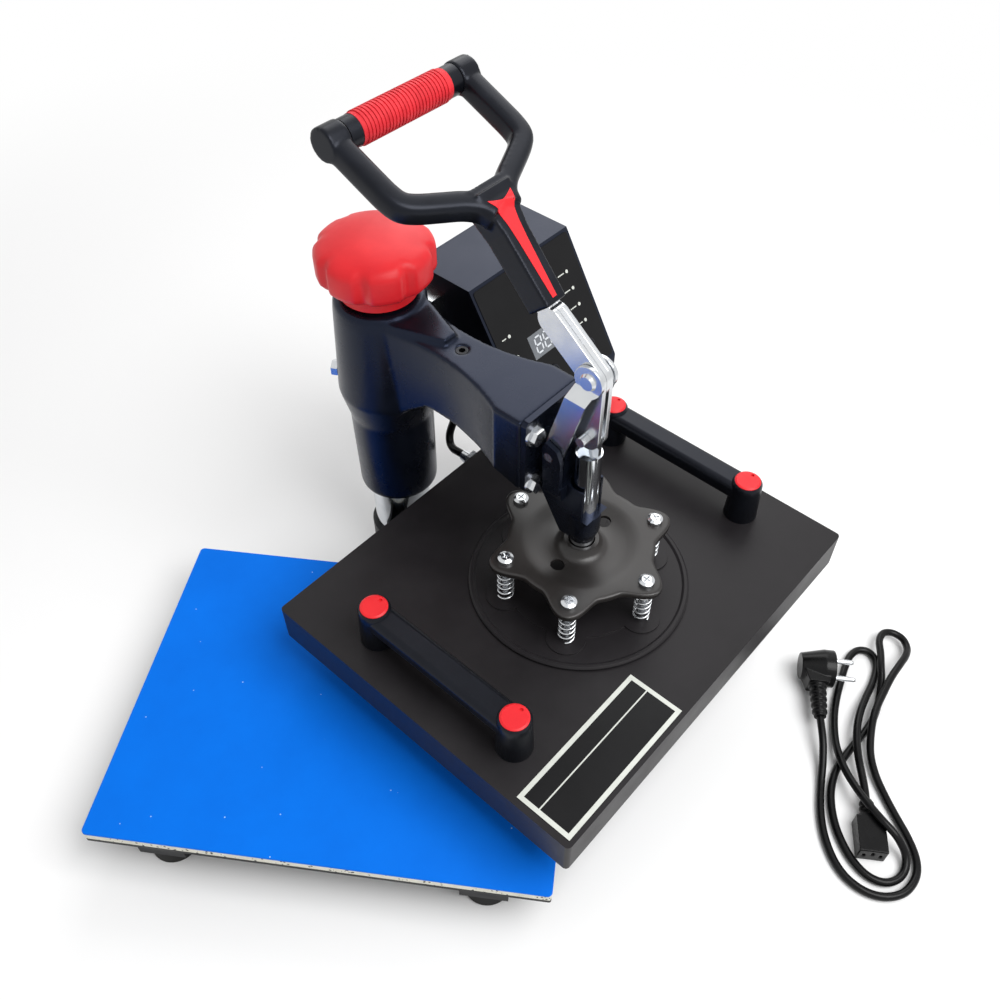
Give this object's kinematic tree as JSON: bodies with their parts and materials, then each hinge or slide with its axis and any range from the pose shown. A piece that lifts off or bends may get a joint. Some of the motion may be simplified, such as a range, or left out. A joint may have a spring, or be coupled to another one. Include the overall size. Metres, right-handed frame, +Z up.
{
  "type": "heat_press",
  "caption": "Swing-away flat heat press with toggle handle, sprung hot platen, blue silicone pad, pressure knob on a column and a sloping control box",
  "frame": {"origin": "centre of the silicone pad's top face", "axes": "+X to the press's right, +Y back towards the column, +Z up; the arm rests swung out 56 degrees to the right"},
  "size_m": [0.7035, 0.5267, 0.523],
  "materials": {
    "frame_black": "satin black powder coat",
    "cast_black": "gloss black enamel on a casting",
    "sheet_black": "semi-gloss black sheet steel",
    "chrome": "polished chrome",
    "zinc_steel": "bright zinc plate",
    "black_steel": "black oxide",
    "black_rubber": "matt black rubber",
    "foam_grey": "open speckled foam",
    "silicone_blue": "matt blue silicone",
    "red_plastic": "moulded red plastic",
    "red_rubber": "ribbed red rubber",
    "black_plastic": "moulded black plastic",
    "blanket": "mineral fibre",
    "hot_plate": "dark coated aluminium",
    "panel_film": "printed black film",
    "display_film": "smoked display window",
    "board_green": "glass fibre board"
  },
  "bodies": {
    "base": {"runners": "frame_black", "crossbars": "frame_black", "rear_plate": "frame_black", "column_socket": "frame_black", "column_tube": "chrome", "column_nut": "zinc_steel", "rubber_feet": "black_rubber", "foot_screws": "zinc_steel", "lower_plate": "frame_black", "foam_sheet": "foam_grey", "silicone_pad": "silicone_blue", "plate_bolts": "zinc_steel", "cord_plug": "black_rubber", "cord_connector": "black_rubber", "mains_cord": "black_rubber"},
    "lift": {"thrust_washer": "zinc_steel"},
    "knob": {"pressure_knob": "red_plastic", "pressure_screw": "zinc_steel"},
    "arm": {"cast_arm": "cast_black", "arm_set_screw": "black_steel", "hub_bolt": "zinc_steel", "toggle_bracket": "cast_black", "bracket_bolts": "zinc_steel", "link_pivot_pin": "zinc_steel", "box_bracket": "zinc_steel", "box_screws": "zinc_steel", "control_box": "sheet_black", "box_back": "sheet_black", "panel_overlay": "panel_film", "display_window": "display_film", "circuit_board": "board_green", "power_inlet": "black_plastic", "switch_bezel": "black_plastic", "heater_cable": "black_rubber"},
    "links": {"toggle_links": "zinc_steel", "link_rivet": "zinc_steel"},
    "lever": {"lever_plates": "zinc_steel", "lever_core": "zinc_steel", "handle_frame": "black_plastic", "handle_stripe": "red_plastic", "grip_tube": "black_plastic", "grip_sleeve": "red_rubber"},
    "plunger": {"plunger_rod": "chrome", "plunger_pin": "zinc_steel", "spider_plate": "cast_black", "rod_nut": "zinc_steel"},
    "platen": {"platen_cover": "sheet_black", "insulation_blanket": "blanket", "heating_plate": "hot_plate", "spring_disc": "sheet_black", "spring_screws": "zinc_steel", "coil_springs": "zinc_steel", "lifting_handles": "black_plastic", "handle_caps": "red_plastic", "platen_gland": "zinc_steel"},
    "up_key": {"key_up": "black_plastic"},
    "down_key": {"key_down": "black_plastic"},
    "set_key": {"key_set": "black_plastic"},
    "mode_key": {"key_mode": "black_plastic"},
    "rocker": {"power_rocker": "red_plastic"}
  },
  "joints": [
    {"name": "pressure_lift", "type": "slide", "parent": "base", "child": "lift", "axis": [0, 0, 1], "range_m": [-0.006, 0.006]},
    {"name": "knob_turn", "type": "hinge", "parent": "lift", "child": "knob", "pos_m": [0, 0.223, 0.29], "axis": [0, 0, 1], "range_deg": [-722, 722]},
    {"name": "arm_swing", "type": "hinge", "parent": "lift", "child": "arm", "pos_m": [0, 0.223, 0.15], "axis": [0, 0, 1], "range_deg": [-56, 34]},
    {"name": "plunger_stroke", "type": "slide", "parent": "arm", "child": "plunger", "axis": [0, 0, 1], "range_m": [-0.036, 0], "deforming": ["heater_cable"]},
    {"name": "handle_turn", "type": "hinge", "parent": "plunger", "child": "lever", "pos_m": [0.18488, 0.0983, 0.256], "axis": [0.5592, 0.829, 0], "range_deg": [-1, 116]},
    {"name": "link_turn", "type": "hinge", "parent": "arm", "child": "links", "pos_m": [0.16664, 0.1106, 0.232], "axis": [0.5592, 0.829, 0], "range_deg": [-1, 102]},
    {"name": "platen_float", "type": "slide", "parent": "plunger", "child": "platen", "axis": [0, 0, 1], "range_m": [0, 0.004], "stiffness_N_per_m": 9000, "springref_m": -0.006, "deforming": ["coil_springs"]},
    {"name": "up_press", "type": "slide", "parent": "arm", "child": "up_key", "axis": [-0.7109, 0.4795, -0.5145], "range_m": [0, 0.001], "stiffness_N_per_m": 600, "springref_m": -0.0015},
    {"name": "down_press", "type": "slide", "parent": "arm", "child": "down_key", "axis": [-0.7109, 0.4795, -0.5145], "range_m": [0, 0.001], "stiffness_N_per_m": 600, "springref_m": -0.0015},
    {"name": "set_press", "type": "slide", "parent": "arm", "child": "set_key", "axis": [-0.7109, 0.4795, -0.5145], "range_m": [0, 0.001], "stiffness_N_per_m": 600, "springref_m": -0.0015},
    {"name": "mode_press", "type": "slide", "parent": "arm", "child": "mode_key", "axis": [-0.7109, 0.4795, -0.5145], "range_m": [0, 0.001], "stiffness_N_per_m": 600, "springref_m": -0.0015},
    {"name": "switch_rock", "type": "hinge", "parent": "arm", "child": "rocker", "pos_m": [0.07281, 0.34758, 0.192], "axis": [0.5592, 0.829, 0], "range_deg": [0, 24]}
  ],
  "couplings": [
    {"joint": "knob_turn", "follows": "pressure_lift", "rad_per_m": 2094.4},
    {"joint": "handle_turn", "follows": "plunger_stroke", "rad_per_m": -55.754},
    {"joint": "link_turn", "follows": "plunger_stroke", "rad_per_m": -48.801}
  ]
}
